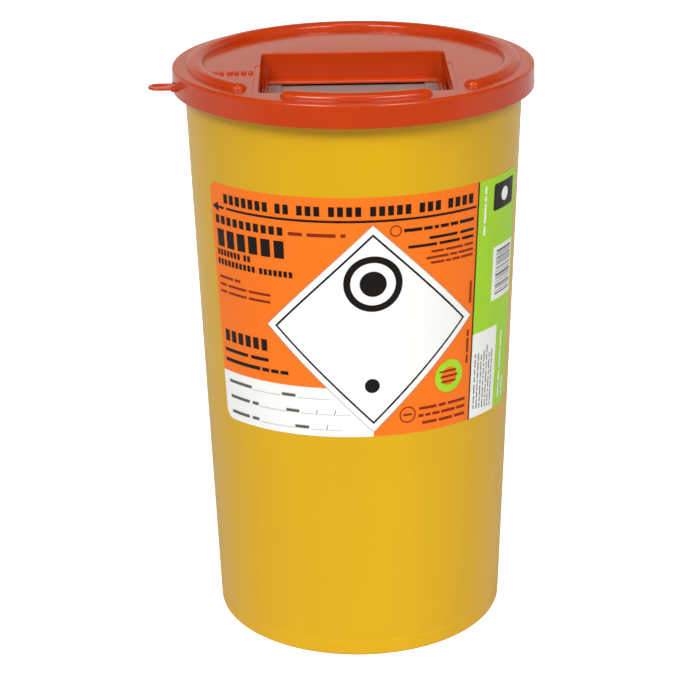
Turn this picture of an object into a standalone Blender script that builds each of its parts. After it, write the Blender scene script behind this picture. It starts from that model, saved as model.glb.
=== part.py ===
"""A five-litre sharps container: a tapered tub, a press-on lid with a posting well,
a sliding door under the well, and a printed wrap-around label.

Metres, +Z up. The origin is the centre of the tub's base. -Y is the front, where the
label is, and the door opens towards +Y.
"""
import math

import bmesh
import bpy

MM = 0.001

# ---- driving dimensions -------------------------------------------------------------
SEGMENTS = 96                       # facets round every turned piece
BASE_R = 72.6 * MM                  # tub's outer radius at the floor
TAPER = 0.03105                     # radius gained per metre of height
WALL = 1.4 * MM
FLOOR_T = 1.8 * MM
FOOT_H = 8.2 * MM                   # height of the small step above the foot
FOOT_STEP = 0.25 * MM
BASE_EDGE_R = 2.2 * MM              # rounding of the tub's bottom edge
RIM_TOP_Z = 282.1 * MM
RIM_LIP_R = 84.9 * MM               # the lip that the lid grips

LID_R = 87.0 * MM
LID_TOP_Z = 284.3 * MM              # the lid's flat deck
SKIRT_Z = 273.0 * MM                # the skirt's lower edge
DECK_T = 1.8 * MM
SKIRT_T = 1.6 * MM
EDGE_R = 1.4 * MM                   # rounding between deck and skirt
PLUG_R = 79.3 * MM                  # ring that plugs the tub's mouth
PLUG_T = 1.4 * MM
PLUG_Z = 276.4 * MM

BEAD_R = 75.9 * MM                  # centre line of the raised beads on the deck
BEAD_HALF_W = 4.1 * MM
BEAD_H = 2.7 * MM
BEAD_START_DEG = 44.9               # half of the gap at the front of the long bead
FRONT_BEAD_DEG = 23.4               # half of the front bead's arc

WELL_X = 44.3 * MM                  # half width of the posting well
WELL_FRONT_Y = -63.0 * MM
WELL_BACK_Y = 16.1 * MM
WELL_FLOOR_Z = 270.65 * MM
WELL_FLOOR_T = 0.9 * MM
WELL_WALL = 1.4 * MM
WELL_CORNER_R = 3.0 * MM
APERTURE_X = 41.2 * MM              # half width of the hole in the well's floor
APERTURE_FRONT_Y = -30.0 * MM
APERTURE_BACK_Y = 12.6 * MM
STRIP_X = 46.7 * MM                 # outer edge of the shallow strips by the well
STRIP_DEPTH = 0.3 * MM
STRIP_BACK_Y = -9.0 * MM

DOOR_X = 43.6 * MM
DOOR_FRONT_Y = -33.4 * MM
DOOR_BACK_Y = 14.8 * MM
DOOR_TOP_Z = WELL_FLOOR_Z - WELL_FLOOR_T - 0.35 * MM
DOOR_RUNNER_T = 1.8 * MM
DOOR_RUNNER_W = 8.5 * MM
DOOR_PANEL_DROP = 0.85 * MM         # the middle panel lies this far below the runners
DOOR_PANEL_T = 1.4 * MM
DOOR_TRAVEL = 39.2 * MM
TAB_X = 14.0 * MM                   # half width of the finger tab
TAB_FRONT_Y = -29.4 * MM
TAB_T = 2.2 * MM
TAB_TOP_Z = 272.6 * MM

RAIL_IN_X = 44.0 * MM               # inner face of the rails beside the door
RAIL_OUT_X = 45.3 * MM
HOOK_X = 41.7 * MM                  # inner edge of the hooks under the door
HOOK_T = 1.25 * MM
HOOK_GAP = 0.35 * MM
RAIL_FRONT_Y = -34.5 * MM
STOP_T = 1.4 * MM                   # the wall that stops the open door
STOP_GAP = 0.7 * MM                 # between that wall and the open door
RAIL_BACK_Y = DOOR_BACK_Y + DOOR_TRAVEL + STOP_GAP + STOP_T

LOOP_Y = -19.7 * MM                 # centre line of the tag loop
LOOP_Z = 277.3 * MM
LOOP_TIP_X = -97.2 * MM
LOOP_HALF_W = 5.5 * MM
LOOP_FRONT_BAND = 4.3 * MM
LOOP_BAND = 2.0 * MM
LOOP_T = 1.2 * MM
LOOP_WEB = 1.9 * MM                 # between the loop's hole and its boss
LOOP_BOSS_X = -86.3 * MM
LOOP_BOSS_HALF = 5.0 * MM
LOOP_BOSS_T = 2.9 * MM

BLOCK_Y = -23.3 * MM                # the row of small raised blocks left of the well
BLOCK_FIRST_X = -66.5 * MM
BLOCK_PITCH = 3.36 * MM
BLOCK_W = 2.6 * MM
BLOCK_L = 4.8 * MM
BLOCK_H = 1.2 * MM
BLOCK_COUNT = 6

LABEL_LEFT_DEG = -58.0
LABEL_RIGHT_DEG = 71.5
LABEL_LOW_Z = 120.4 * MM
LABEL_HIGH_Z = 239.4 * MM
LABEL_DROOP_LOW = 2.6 * MM          # how far the lower edge sags where the label ends
LABEL_DROOP_HIGH = 1.7 * MM         # the same for the upper edge
LABEL_NARROWING = 0.02              # angle lost at the lower edge, gained at the upper
LABEL_CORNER_R = 5.0 * MM
LABEL_GAP = 0.2 * MM
LABEL_T = 0.3 * MM

MATERIALS = {
    # name: (red, green, blue), roughness
    "tub_yellow": ((0.80, 0.47, 0.02), 0.42),
    "lid_orange": ((0.60, 0.075, 0.015), 0.38),
    "door_grey": ((0.30, 0.25, 0.24), 0.50),
    "label_orange": ((0.95, 0.21, 0.02), 0.35),
}


# ---- general helpers ----------------------------------------------------------------
def clear_scene():
    for old in list(bpy.data.objects):
        bpy.data.objects.remove(old, do_unlink=True)


def plastic(name):
    colour, roughness = MATERIALS[name]
    material = bpy.data.materials.new(name)
    material.use_nodes = True
    shader = material.node_tree.nodes["Principled BSDF"]
    shader.inputs["Base Color"].default_value = (*colour, 1.0)
    shader.inputs["Roughness"].default_value = roughness
    shader.inputs["Metallic"].default_value = 0.0
    return material


def finish_mesh(name, mesh_edit, material=None):
    """Turn a bmesh into a linked object whose faces point out."""
    bmesh.ops.recalc_face_normals(mesh_edit, faces=mesh_edit.faces)
    mesh = bpy.data.meshes.new(name)
    mesh_edit.to_mesh(mesh)
    mesh_edit.free()
    item = bpy.data.objects.new(name, mesh)
    bpy.context.scene.collection.objects.link(item)
    if material is not None:
        mesh.materials.append(material)
        mesh.shade_smooth()
        mesh.set_sharp_from_angle(angle=math.radians(30))
    return item


def revolve(name, profile, material=None):
    """Turn a closed (radius, z) outline round Z; points at radius 0 sit on the axis."""
    edit = bmesh.new()
    rings = []
    for radius, z in profile:
        if radius == 0:
            rings.append([edit.verts.new((0, 0, z))] * SEGMENTS)
            continue
        ring = []
        for step in range(SEGMENTS):
            turn = 2 * math.pi * step / SEGMENTS
            ring.append(edit.verts.new((radius * math.cos(turn), radius * math.sin(turn), z)))
        rings.append(ring)
    for lower, upper in zip(rings, rings[1:] + rings[:1]):
        for step in range(SEGMENTS):
            following = (step + 1) % SEGMENTS
            corners = [lower[step], lower[following], upper[following], upper[step]]
            corners = list(dict.fromkeys(corners))
            if len(corners) > 2:
                edit.faces.new(corners)
    return finish_mesh(name, edit, material)


def prism(name, outline, low, high, material=None, along="Z"):
    """Extrude an outline. Its points are (x, y) along Z, or (x, z) along Y."""
    edit = bmesh.new()
    place = {"Z": lambda a, b, depth: (a, b, depth), "Y": lambda a, b, depth: (a, depth, b)}[along]
    first = [edit.verts.new(place(a, b, low)) for a, b in outline]
    last = [edit.verts.new(place(a, b, high)) for a, b in outline]
    edit.faces.new(first)
    edit.faces.new(last)
    count = len(outline)
    for index in range(count):
        after = (index + 1) % count
        edit.faces.new([first[index], first[after], last[after], last[index]])
    return finish_mesh(name, edit, material)


def rectangle(x_low, x_high, y_low, y_high):
    return [(x_low, y_low), (x_high, y_low), (x_high, y_high), (x_low, y_high)]


def rounded_rectangle(x_low, x_high, y_low, y_high, radius, steps=4):
    outline = []
    corners = [(x_high - radius, y_high - radius, 0), (x_low + radius, y_high - radius, 90),
               (x_low + radius, y_low + radius, 180), (x_high - radius, y_low + radius, 270)]
    for centre_x, centre_y, start in corners:
        for step in range(steps + 1):
            turn = math.radians(start + 90 * step / steps)
            outline.append((centre_x + radius * math.cos(turn), centre_y + radius * math.sin(turn)))
    return outline


def guide(item):
    """A helper solid: used by a Boolean, left out of the model."""
    item.hide_render = True
    item.display_type = "WIRE"
    return item


def combine(target, operation, helper):
    modifier = target.modifiers.new(helper.name, "BOOLEAN")
    modifier.operation = operation
    modifier.solver = "EXACT"
    modifier.object = guide(helper)


def tub_radius(z):
    return BASE_R + TAPER * z


def arc_points(centre_r, centre_z, radius, start_deg, end_deg, steps):
    """Points of a rounding in a (radius, z) outline."""
    points = []
    for step in range(steps + 1):
        turn = math.radians(start_deg + (end_deg - start_deg) * step / steps)
        points.append((centre_r + radius * math.cos(turn), centre_z + radius * math.sin(turn)))
    return points


# ---- the tub ------------------------------------------------------------------------
def make_tub(material):
    lip_low = RIM_TOP_Z - 5.0 * MM
    lip_high = RIM_TOP_Z - 3.2 * MM
    floor_corner = 4.0 * MM
    inner_floor_r = tub_radius(FLOOR_T) - WALL - floor_corner
    outline = [(0, 0)]
    outline += arc_points(tub_radius(0) - BASE_EDGE_R, BASE_EDGE_R, BASE_EDGE_R, -90, 0, 4)
    outline += [
        (tub_radius(FOOT_H), FOOT_H),
        (tub_radius(FOOT_H) - FOOT_STEP, FOOT_H + 0.4 * MM),
        (tub_radius(FOOT_H + 3 * MM), FOOT_H + 3 * MM),
        (tub_radius(lip_low - 2 * MM), lip_low - 2 * MM),
        (RIM_LIP_R, lip_low),
        (RIM_LIP_R, lip_high),
        (tub_radius(RIM_TOP_Z) + 0.6 * MM, lip_high + 0.6 * MM),
        (tub_radius(RIM_TOP_Z) + 0.3 * MM, RIM_TOP_Z),
        (tub_radius(RIM_TOP_Z) - WALL + 0.2 * MM, RIM_TOP_Z),
    ]
    outline += arc_points(inner_floor_r, FLOOR_T + floor_corner, floor_corner, 0, -90, 4)
    outline.append((0, FLOOR_T))
    return revolve("tub", outline, material)


# ---- the lid ------------------------------------------------------------------------
def bead(name, start_deg, end_deg, arc_steps):
    """A half-round bead along an arc of the deck, with a rounded nose at each end.

    Angles run from the front (-Y), positive towards +X.
    """
    sink = 0.5 * MM
    section_steps = 6
    nose_deg = math.degrees(BEAD_HALF_W / BEAD_R)
    stations = []
    for nose in (80, 55, 28):
        lean = math.radians(nose)
        stations.append((start_deg - nose_deg * math.sin(lean), math.cos(lean)))
    for step in range(arc_steps + 1):
        stations.append((start_deg + (end_deg - start_deg) * step / arc_steps, 1.0))
    for nose in (28, 55, 80):
        lean = math.radians(nose)
        stations.append((end_deg + nose_deg * math.sin(lean), math.cos(lean)))

    edit = bmesh.new()
    rings = []
    for angle, size in stations:
        turn = math.radians(angle)
        ring = []
        section = [(math.cos(math.pi * k / section_steps), math.sin(math.pi * k / section_steps))
                   for k in range(section_steps + 1)]
        offsets = [(BEAD_HALF_W * size * a, BEAD_H * size * b) for a, b in section]
        offsets += [(-BEAD_HALF_W * size, -sink), (BEAD_HALF_W * size, -sink)]
        for across, up in offsets:
            radius = BEAD_R + across
            ring.append(edit.verts.new((radius * math.sin(turn), -radius * math.cos(turn), LID_TOP_Z + up)))
        rings.append(ring)
    for lower, upper in zip(rings, rings[1:]):
        for index in range(len(lower)):
            after = (index + 1) % len(lower)
            edit.faces.new([lower[index], lower[after], upper[after], upper[index]])
    edit.faces.new(rings[0])
    edit.faces.new(rings[-1])
    return finish_mesh(name, edit)


def lid_rails():
    """The rails, hooks and stop that hold the door, as helper solids."""
    hook_top = DOOR_TOP_Z - DOOR_RUNNER_T - HOOK_GAP
    hook_low = hook_top - HOOK_T
    in_floor = WELL_FLOOR_Z - 0.4 * MM
    in_deck = LID_TOP_Z - 1.0 * MM
    behind_well = WELL_BACK_Y + 0.6 * MM
    low_side = [(RAIL_OUT_X, hook_low), (RAIL_OUT_X, in_floor), (RAIL_IN_X, in_floor),
                (RAIL_IN_X, hook_top), (HOOK_X, hook_top), (HOOK_X, hook_low)]
    guide_low = WELL_FLOOR_Z - WELL_FLOOR_T
    guide_high = guide_low + 1.3 * MM
    high_side = [(RAIL_OUT_X, hook_top + 0.6 * MM), (RAIL_OUT_X, in_deck), (RAIL_IN_X, in_deck),
                 (RAIL_IN_X, guide_high), (HOOK_X, guide_high), (HOOK_X, guide_low),
                 (RAIL_IN_X, guide_low), (RAIL_IN_X, hook_top + 0.6 * MM)]
    solids = []
    for side, mirror in (("left", -1), ("right", 1)):
        low = [(mirror * x, z) for x, z in low_side]
        high = [(mirror * x, z) for x, z in high_side]
        solids.append(prism(f"rail_{side}", low, RAIL_FRONT_Y, RAIL_BACK_Y - 0.3 * MM, along="Y"))
        solids.append(prism(f"rail_web_{side}", high, behind_well, RAIL_BACK_Y - 0.5 * MM, along="Y"))
    stop = rectangle(-RAIL_OUT_X + 0.2 * MM, RAIL_OUT_X - 0.2 * MM, RAIL_BACK_Y - STOP_T, RAIL_BACK_Y)
    solids.append(prism("door_stop", stop, hook_low + 0.2 * MM, in_deck - 0.2 * MM))
    return solids


def tag_loop():
    """A flat loop with its slot towards the back, on a boss; both end inside the skirt's wall."""
    root_x = -LID_R + 9.0 * MM
    outer = rounded_rectangle(LOOP_TIP_X, root_x, LOOP_Y - LOOP_HALF_W, LOOP_Y + LOOP_HALF_W,
                              LOOP_HALF_W - 0.2 * MM, 5)
    loop = prism("loop", outer, LOOP_Z - LOOP_T / 2, LOOP_Z + LOOP_T / 2)
    inner = rounded_rectangle(LOOP_TIP_X + LOOP_BAND, LOOP_BOSS_X - LOOP_WEB,
                              LOOP_Y - LOOP_HALF_W + LOOP_FRONT_BAND, LOOP_Y + LOOP_HALF_W - LOOP_BAND,
                              1.9 * MM, 4)
    combine(loop, "DIFFERENCE", prism("loop_hole", inner, LOOP_Z - LOOP_T, LOOP_Z + LOOP_T))
    boss = rounded_rectangle(LOOP_BOSS_X, root_x, LOOP_Y - LOOP_BOSS_HALF, LOOP_Y + LOOP_BOSS_HALF, MM, 2)
    combine(loop, "UNION", prism("loop_boss", boss, LOOP_Z - LOOP_BOSS_T / 2, LOOP_Z + LOOP_BOSS_T / 2))
    mid_wall = LID_R - SKIRT_T / 2
    core = [(0, SKIRT_Z - MM), (mid_wall, SKIRT_Z - MM), (mid_wall, LID_TOP_Z), (0, LID_TOP_Z)]
    combine(loop, "DIFFERENCE", revolve("skirt_core", core))
    return loop


def raised_blocks():
    """The row of raised blocks on the deck, as one helper of separate boxes."""
    blocks = []
    for index in range(BLOCK_COUNT):
        x_low = BLOCK_FIRST_X + index * BLOCK_PITCH
        outline = rounded_rectangle(x_low, x_low + BLOCK_W, BLOCK_Y - BLOCK_L / 2, BLOCK_Y + BLOCK_L / 2,
                                    0.7 * MM, 2)
        blocks.append(prism(f"block_{index + 1}", outline, LID_TOP_Z - 0.5 * MM, LID_TOP_Z + BLOCK_H))
    return blocks


def make_lid(material):
    underside = LID_TOP_Z - DECK_T
    outline = [(0, LID_TOP_Z)]
    outline += arc_points(LID_R - EDGE_R - 0.2 * MM, LID_TOP_Z - EDGE_R, EDGE_R, 90, 0, 4)
    outline += [
        (LID_R, SKIRT_Z + 0.4 * MM),
        (LID_R - 0.4 * MM, SKIRT_Z),
        (LID_R - SKIRT_T, SKIRT_Z),
        (LID_R - SKIRT_T, underside),
        (PLUG_R, underside),
        (PLUG_R, PLUG_Z + 0.8 * MM),
        (PLUG_R - 0.4 * MM, PLUG_Z),
        (PLUG_R - PLUG_T, PLUG_Z),
        (PLUG_R - PLUG_T, underside),
        (0, underside),
    ]
    lid = revolve("lid", outline, material)

    well_outer = rounded_rectangle(-WELL_X - WELL_WALL, WELL_X + WELL_WALL, WELL_FRONT_Y - WELL_WALL,
                                   WELL_BACK_Y + WELL_WALL, WELL_CORNER_R + WELL_WALL)
    combine(lid, "UNION", prism("well_outer", well_outer, WELL_FLOOR_Z - WELL_FLOOR_T, LID_TOP_Z - 0.9 * MM))
    well_inner = rounded_rectangle(-WELL_X, WELL_X, WELL_FRONT_Y, WELL_BACK_Y, WELL_CORNER_R)
    combine(lid, "DIFFERENCE", prism("well_inner", well_inner, WELL_FLOOR_Z, LID_TOP_Z + 5 * MM))
    aperture = rounded_rectangle(-APERTURE_X, APERTURE_X, APERTURE_FRONT_Y, APERTURE_BACK_Y, 2.0 * MM)
    combine(lid, "DIFFERENCE", prism("aperture", aperture, WELL_FLOOR_Z - 3 * MM, WELL_FLOOR_Z + 1 * MM))
    for side, mirror in (("left", -1), ("right", 1)):
        inner_x, outer_x = sorted((mirror * (WELL_X - 1.0 * MM), mirror * STRIP_X))
        strip = rectangle(inner_x, outer_x, WELL_FRONT_Y + 2 * MM, STRIP_BACK_Y)
        combine(lid, "DIFFERENCE", prism(f"strip_{side}", strip, LID_TOP_Z - STRIP_DEPTH, LID_TOP_Z + 2 * MM))

    for solid in lid_rails():
        combine(lid, "UNION", solid)
    combine(lid, "UNION", bead("long_bead", BEAD_START_DEG, 360 - BEAD_START_DEG, 60))
    combine(lid, "UNION", bead("front_bead", -FRONT_BEAD_DEG, FRONT_BEAD_DEG, 12))
    for block in raised_blocks():
        combine(lid, "UNION", block)
    combine(lid, "UNION", tag_loop())
    return lid


# ---- the door -----------------------------------------------------------------------
def make_door(material):
    panel_top = DOOR_TOP_Z - DOOR_PANEL_DROP
    runner_low = DOOR_TOP_Z - DOOR_RUNNER_T
    panel_low = panel_top - DOOR_PANEL_T
    inner_x = DOOR_X - DOOR_RUNNER_W
    slope = 0.4 * MM
    half = [(DOOR_X, runner_low), (DOOR_X, DOOR_TOP_Z), (inner_x, DOOR_TOP_Z), (inner_x - slope, panel_top)]
    under = [(inner_x - slope, panel_low), (inner_x + slope, runner_low)]
    outline = half + [(-x, z) for x, z in reversed(half)]
    outline += [(-x, z) for x, z in reversed(under)] + under
    door = prism("door", outline, DOOR_FRONT_Y, DOOR_BACK_Y, material, along="Y")
    tab = rounded_rectangle(-TAB_X, TAB_X, TAB_FRONT_Y, TAB_FRONT_Y + TAB_T, 0.9 * MM, 3)
    combine(door, "UNION", prism("finger_tab", tab, panel_top - 0.5 * MM, TAB_TOP_Z))
    return door


# ---- the label ----------------------------------------------------------------------
def label_width():
    radius = tub_radius((LABEL_LOW_Z + LABEL_HIGH_Z) / 2)
    return math.radians(LABEL_RIGHT_DEG - LABEL_LEFT_DEG) * radius


def label_edges(part):
    """Lower and upper z of the label at a fraction (0 to 1) of its width."""
    sag = (2 * part - 1) ** 2
    edge = min(part, 1 - part) * label_width()
    inset = 0.0
    if edge < LABEL_CORNER_R:
        inset = LABEL_CORNER_R - math.sqrt(LABEL_CORNER_R ** 2 - (LABEL_CORNER_R - edge) ** 2)
    return LABEL_LOW_Z - LABEL_DROOP_LOW * sag + inset, LABEL_HIGH_Z - LABEL_DROOP_HIGH * sag - inset


def make_label(material):
    corner = [step * MM / label_width() for step in (0.0, 0.25, 0.8, 1.7, 3.0, 5.0)]
    middle_steps = 36
    parts = corner + [corner[-1] + (1 - 2 * corner[-1]) * step / middle_steps
                      for step in range(1, middle_steps)] + [1 - part for part in reversed(corner)]
    middle_z = (LABEL_LOW_Z + LABEL_HIGH_Z) / 2
    half_height = (LABEL_HIGH_Z - LABEL_LOW_Z) / 2
    edit = bmesh.new()
    columns = []
    for part in parts:
        angle = LABEL_LEFT_DEG + (LABEL_RIGHT_DEG - LABEL_LEFT_DEG) * part
        column = []
        for z, lift in zip(label_edges(part) * 2, (0, 0, LABEL_T, LABEL_T)):
            turn = math.radians(angle * (1 + LABEL_NARROWING * (z - middle_z) / half_height))
            radius = tub_radius(z) + LABEL_GAP + lift
            column.append(edit.verts.new((radius * math.sin(turn), -radius * math.cos(turn), z)))
        low_in, high_in, low_out, high_out = column
        columns.append([low_in, high_in, high_out, low_out])
    for left, right in zip(columns, columns[1:]):
        for index in range(4):
            after = (index + 1) % 4
            edit.faces.new([left[index], left[after], right[after], right[index]])
    edit.faces.new(columns[0])
    edit.faces.new(columns[-1])
    return finish_mesh("label", edit, material)


def main():
    clear_scene()
    container = bpy.data.objects.new("container", None)
    bpy.context.scene.collection.objects.link(container)
    tub = make_tub(plastic("tub_yellow"))
    label = make_label(plastic("label_orange"))
    lid = make_lid(plastic("lid_orange"))
    door = make_door(plastic("door_grey"))
    for item in (tub, label, lid):
        item.parent = container
    door.parent = lid


main()
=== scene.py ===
import math
import random

import bmesh
import bpy
from mathutils import Matrix, Vector


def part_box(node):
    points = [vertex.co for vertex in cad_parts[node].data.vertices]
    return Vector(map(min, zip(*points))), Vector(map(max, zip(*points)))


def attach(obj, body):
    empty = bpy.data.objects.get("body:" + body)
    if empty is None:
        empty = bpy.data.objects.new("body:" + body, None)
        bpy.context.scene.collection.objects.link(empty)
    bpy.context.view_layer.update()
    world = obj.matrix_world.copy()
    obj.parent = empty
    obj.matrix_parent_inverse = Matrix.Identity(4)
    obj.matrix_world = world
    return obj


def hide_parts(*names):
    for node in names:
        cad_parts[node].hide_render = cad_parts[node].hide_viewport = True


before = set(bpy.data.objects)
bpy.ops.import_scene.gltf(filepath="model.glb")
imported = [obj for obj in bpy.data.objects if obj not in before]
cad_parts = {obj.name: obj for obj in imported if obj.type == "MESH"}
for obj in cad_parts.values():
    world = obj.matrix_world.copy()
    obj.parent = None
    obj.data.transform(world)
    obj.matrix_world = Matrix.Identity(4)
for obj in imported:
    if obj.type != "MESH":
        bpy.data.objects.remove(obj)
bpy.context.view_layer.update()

MM = 0.001

# ---- sizes, read from the frame where it holds them -----------------------------------
TUB_LOW, TUB_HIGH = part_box("tub")
LID_LOW, LID_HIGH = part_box("lid")
DOOR_LOW, DOOR_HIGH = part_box("door")

TURN_STEPS = 240                        # facets round every turned surface

# tub
RIM_TOP_Z = TUB_HIGH.z
RIM_LIP_R = TUB_HIGH.x
BASE_R = RIM_LIP_R - 12.3 * MM
TAPER = 0.03105                         # radius gained per metre of height
WALL = 1.4 * MM
FLOOR_T = 1.8 * MM
FOOT_H = 8.2 * MM
FOOT_STEP = 0.25 * MM
BASE_EDGE_R = 2.2 * MM

# lid
LID_R = LID_HIGH.x
BEAD_H = 2.7 * MM
DECK_Z = LID_HIGH.z - BEAD_H
SKIRT_Z = DECK_Z - 11.3 * MM
DECK_T = 1.8 * MM
SKIRT_T = 1.6 * MM
EDGE_R = 1.4 * MM
PLUG_R = 79.3 * MM
PLUG_T = 1.4 * MM
PLUG_Z = DECK_Z - 7.9 * MM
BEAD_R = 75.9 * MM
BEAD_HALF_W = 4.1 * MM
BEAD_START_DEG = 44.9                   # half of the gap at the front of the long bead
FRONT_BEAD_DEG = 23.4                   # half of the front bead's arc
BEAD_FILLET = 0.25 * MM
CROWN_R = 56.0 * MM                     # outside this the deck falls gently to the back bead
CROWN_DROP = 1.0 * MM
CROWN_END_DEG = 105                     # measured from the back, the fall ends here
CROWN_FADE_DEG = 45                     # and it fades over this much before that

# posting well and its aperture
WELL_X = 44.3 * MM
WELL_FRONT_Y = -63.0 * MM
WELL_BACK_Y = 16.1 * MM
WELL_FLOOR_Z = DECK_Z - 13.65 * MM
WELL_FLOOR_T = 0.9 * MM
WELL_WALL = 1.4 * MM
WELL_CORNER_R = 3.6 * MM
WELL_RIM_R = 0.6 * MM                   # rounding between deck and well
WELL_FOOT_R = 0.8 * MM                  # rounding between the well's walls and floor
APERTURE_X = 41.2 * MM
APERTURE_FRONT_Y = -30.0 * MM
APERTURE_BACK_Y = 12.6 * MM
STRIP_X = 46.7 * MM
STRIP_DEPTH = 0.3 * MM
STRIP_BACK_Y = -9.0 * MM

# rails that hold the door
DOOR_TOP_Z = WELL_FLOOR_Z - WELL_FLOOR_T - 0.35 * MM
DOOR_RUNNER_T = 1.8 * MM
DOOR_RUNNER_W = 8.5 * MM
DOOR_PANEL_DROP = 0.85 * MM
DOOR_PANEL_T = 1.4 * MM
RAIL_IN_X = DOOR_HIGH.x + 0.4 * MM
RAIL_OUT_X = RAIL_IN_X + 1.3 * MM
HOOK_X = 41.7 * MM
HOOK_T = 1.25 * MM
HOOK_GAP = 0.35 * MM
RAIL_FRONT_Y = DOOR_LOW.y - 1.1 * MM
RAIL_BACK_Y = DOOR_HIGH.y + 41.3 * MM
STOP_T = 1.4 * MM

# tag loop
LOOP_Y = -19.7 * MM
LOOP_Z = SKIRT_Z + 4.3 * MM
LOOP_TIP_X = LID_LOW.x
LOOP_HALF_W = 5.5 * MM
LOOP_FRONT_BAND = 4.3 * MM
LOOP_BAND = 2.0 * MM
LOOP_T = 1.2 * MM
LOOP_WEB = 1.9 * MM
LOOP_BOSS_X = -LID_R + 0.7 * MM
LOOP_BOSS_HALF = 5.0 * MM
LOOP_BOSS_T = 2.9 * MM

# raised blocks on the deck
BLOCK_FIRST_X = -66.5 * MM
BLOCK_PITCH = 3.36 * MM
BLOCK_Y = -23.3 * MM
BLOCK_L = 4.8 * MM
BLOCK_H = 1.2 * MM
BLOCK_WIDTHS = [width * MM for width in (2.7, 2.2, 2.9, 2.5, 2.6, 2.4)]

# label: z in mm up the tub, and degrees round it from the front, towards +X, or x in mm along it
LABEL_LEFT_DEG = -58.0
LABEL_RIGHT_DEG = 71.5
ARTWORK_TURN_DEG = -1.0                 # where the printed artwork has its own zero
LABEL_LOW = 120.4
LABEL_HIGH = 239.4
LABEL_CORNER = 5.0
LABEL_MID_Z = (LABEL_LOW + LABEL_HIGH) / 2
LABEL_HALF_Z = (LABEL_HIGH - LABEL_LOW) / 2
LABEL_MID_DEG = (LABEL_LEFT_DEG + LABEL_RIGHT_DEG) / 2
LABEL_HALF_DEG = (LABEL_RIGHT_DEG - LABEL_LEFT_DEG) / 2
NARROWING = 0.02                        # share by which the low edge's arc is shorter
DROOP_LOW, DROOP_HIGH = 2.6, 1.7        # how far the low and high edge hang at their ends
SHEET_LIFT, SHEET_T = 0.03, 0.12        # the sheet's gap to the tub, and its thickness
INK_T = 0.06                            # each layer of print
SLICE = 2.0                             # widest flat facet of a print, along the tub
# a quarter circle: how far across it, and how deep its edge lies there, as shares of the radius
CORNER_CURVE = [(0.0, 1.0), (0.08, 0.61), (0.3, 0.287), (0.55, 0.107), (0.8, 0.02), (1.0, 0.0)]


def tub_radius(z):
    return BASE_R + TAPER * z


MM_PER_DEG = math.radians(1) * tub_radius(LABEL_MID_Z * MM) / MM
LABEL_LEFT_X = (LABEL_LEFT_DEG - ARTWORK_TURN_DEG) * MM_PER_DEG
LABEL_RIGHT_X = (LABEL_RIGHT_DEG - ARTWORK_TURN_DEG) * MM_PER_DEG
BORDER_X = 45.05 * MM_PER_DEG           # between the orange and the green side
FORM_TOP = 145.4                        # upper edge of the white form
FORM_LINES = 139.6, 131.7, 123.8        # its three lines to write on
DIAMOND_X = 5.7 * MM_PER_DEG
DIAMOND_Z = 174.4
DIAMOND_HALF = 51.9                     # half of the white diamond's diagonal
DIAMOND_SKEW = 0.009                    # rise of its right corner, and half its left one's
EMBLEM_Z = 197.6                        # centre of the ring and disc in the diamond
SIGN_X, SIGN_Z = 18.2 * MM_PER_DEG, 130.2   # the brown ring with a bar
MARK_X, MARK_Z = 34.7 * MM_PER_DEG, 146.5   # the green ring
DARK_LEFT_X, DARK_RIGHT_X = 53.8 * MM_PER_DEG, 69.0 * MM_PER_DEG    # the dark block


# ---- colours and materials --------------------------------------------------------------
WHITE = (1.0, 1.0, 1.0, 1.0)


def srgb(red, green, blue):
    """An 8-bit sRGB colour as linear RGBA."""
    def linear(value):
        value /= 255
        return value / 12.92 if value <= 0.04045 else ((value + 0.055) / 1.055) ** 2.4
    return (linear(red), linear(green), linear(blue), 1.0)


class Nodes:
    """Shorthand for building a node tree."""

    def __init__(self, tree):
        self.tree = tree

    def add(self, kind, **settings):
        node = self.tree.nodes.new(kind)
        for key, value in settings.items():
            setattr(node, key, value)
        return node

    def link(self, source, target):
        self.tree.links.new(source, target)

    def feed(self, socket, value):
        """Link a socket's value in, or set a plain number or colour."""
        if isinstance(value, bpy.types.NodeSocket):
            self.link(value, socket)
        else:
            socket.default_value = value

    def remap(self, value, low, high, out_low, out_high, interpolation="LINEAR"):
        node = self.add("ShaderNodeMapRange", interpolation_type=interpolation)
        numbers = {"From Min": low, "From Max": high, "To Min": out_low, "To Max": out_high}
        for key, number in numbers.items():
            node.inputs[key].default_value = number
        self.link(value, node.inputs["Value"])
        return node.outputs["Result"]

    def math(self, operation, first, second):
        node = self.add("ShaderNodeMath", operation=operation)
        self.feed(node.inputs[0], first)
        self.feed(node.inputs[1], second)
        return node.outputs["Value"]

    def split(self, vector):
        """The vector's X, Y and Z, as a node's outputs."""
        node = self.add("ShaderNodeSeparateXYZ")
        self.link(vector, node.inputs["Vector"])
        return node.outputs


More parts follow.
